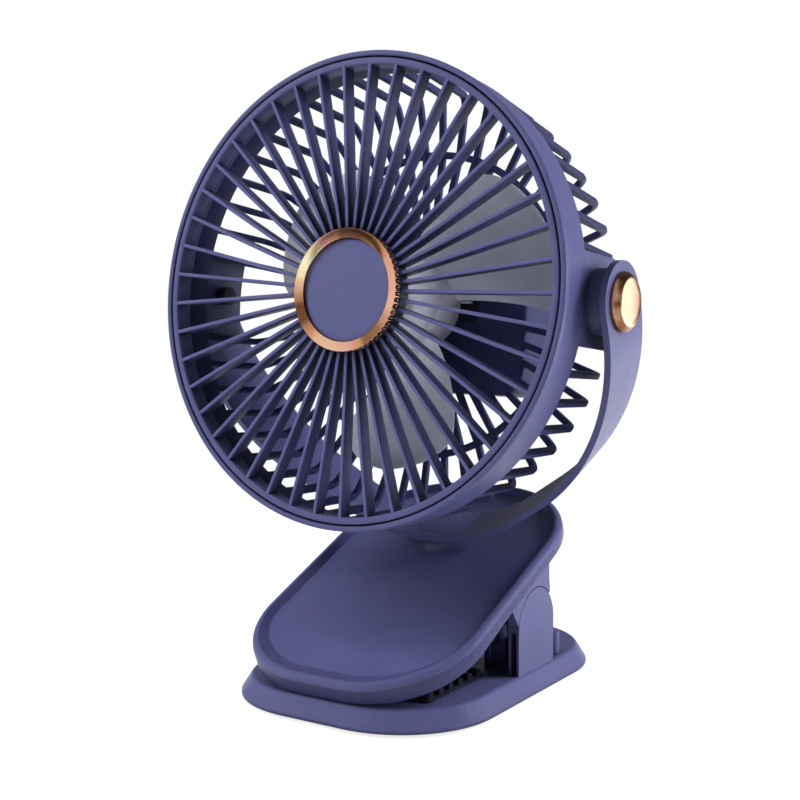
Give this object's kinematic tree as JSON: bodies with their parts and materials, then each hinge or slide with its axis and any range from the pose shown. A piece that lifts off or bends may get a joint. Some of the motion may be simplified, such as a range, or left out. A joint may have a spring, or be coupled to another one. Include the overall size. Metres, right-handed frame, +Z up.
{
  "type": "clip-on camping fan",
  "caption": "Portable battery fan: a round caged head with a radial finned grille tilts in a U-shaped yoke that swivels on a spring clip stand.",
  "frame": {"origin": "centre of the base at the ground, under the middle of the base plate", "axes": "+Z up, the fan blows towards -Y, +X is to the right when looking along +Y at the fan's face"},
  "size_m": [0.2138, 0.16, 0.2629],
  "materials": {
    "navy_plastic": "satin",
    "dark_navy_plastic": "satin",
    "rubber": "matt, moulded",
    "steel": "zinc plated",
    "black_plastic": "matt",
    "rose_gold": "plated, polished",
    "rotor_grey": "glossy, slightly clear",
    "lens_white": "clear satin",
    "cell_wrap": "shrink sleeve",
    "board_green": "lacquered",
    "lead_white": "smooth",
    "motor_iron": "lacquered"
  },
  "bodies": {
    "base": {"base_shell": "navy_plastic", "base_floor": "dark_navy_plastic", "rubber_feet": "rubber", "base_screws": "steel", "lower_grip_pad": "rubber", "hinge_pin": "steel", "spring_sleeve": "black_plastic", "torsion_spring": "steel"},
    "jaw": {"upper_jaw": "navy_plastic", "upper_grip_pad": "rubber", "swivel_screw": "steel", "swivel_washer": "black_plastic", "swivel_nut": "steel", "spring_leg": "steel"},
    "yoke_body": {"yoke": "navy_plastic", "swivel_cap": "navy_plastic", "trunnion_cap_left": "rose_gold", "trunnion_cap_right": "rose_gold"},
    "head": {"trunnion_screw_left": "steel", "trunnion_screw_right": "steel", "trunnion_washer_left": "black_plastic", "trunnion_washer_right": "black_plastic", "front_shell": "navy_plastic", "front_grille": "navy_plastic", "badge_bezel": "rose_gold", "badge_plate": "navy_plastic", "rear_cage": "dark_navy_plastic", "rear_cover": "dark_navy_plastic", "cover_screws": "steel", "indicator_lens": "lens_white", "battery_cells": "cell_wrap", "battery_holder": "black_plastic", "circuit_board": "board_green", "tact_switch": "black_plastic", "usb_socket": "steel", "wire_grommet": "rubber", "motor_leads": "lead_white", "motor_stator": "motor_iron", "motor_screws": "steel", "bearing_front": "steel", "bearing_rear": "steel"},
    "rotor_body": {"motor_shaft": "steel", "magnet_ring": "motor_iron", "rotor": "rotor_grey", "rotor_nut": "steel"},
    "button": {"power_button": "rose_gold"}
  },
  "joints": [
    {"name": "clip_open", "type": "hinge", "parent": "base", "child": "jaw", "pos_m": [0, 0.00854, 0.02815], "axis": [-1, 0, 0], "range_deg": [0, 28], "stiffness_Nm_per_rad": 1.2, "springref_deg": -60.16},
    {"name": "yoke_swivel", "type": "hinge", "parent": "jaw", "child": "yoke_body", "pos_m": [0, 0.02082, 0.05534], "axis": [0, -0.3665, 0.9304], "continuous": true},
    {"name": "head_tilt", "type": "hinge", "parent": "yoke_body", "child": "head", "pos_m": [0, -0.0223, 0.1648], "axis": [1, 0, 0], "range_deg": [-90, 90]},
    {"name": "rotor_spin", "type": "hinge", "parent": "head", "child": "rotor_body", "pos_m": [0, -0.0223, 0.1648], "axis": [0, -0.9925, 0.1219], "continuous": true},
    {"name": "power_press", "type": "slide", "parent": "head", "child": "button", "axis": [0, -0.9925, 0.1219], "range_m": [0, 0.0012], "stiffness_N_per_m": 800, "springref_m": -0.001}
  ]
}
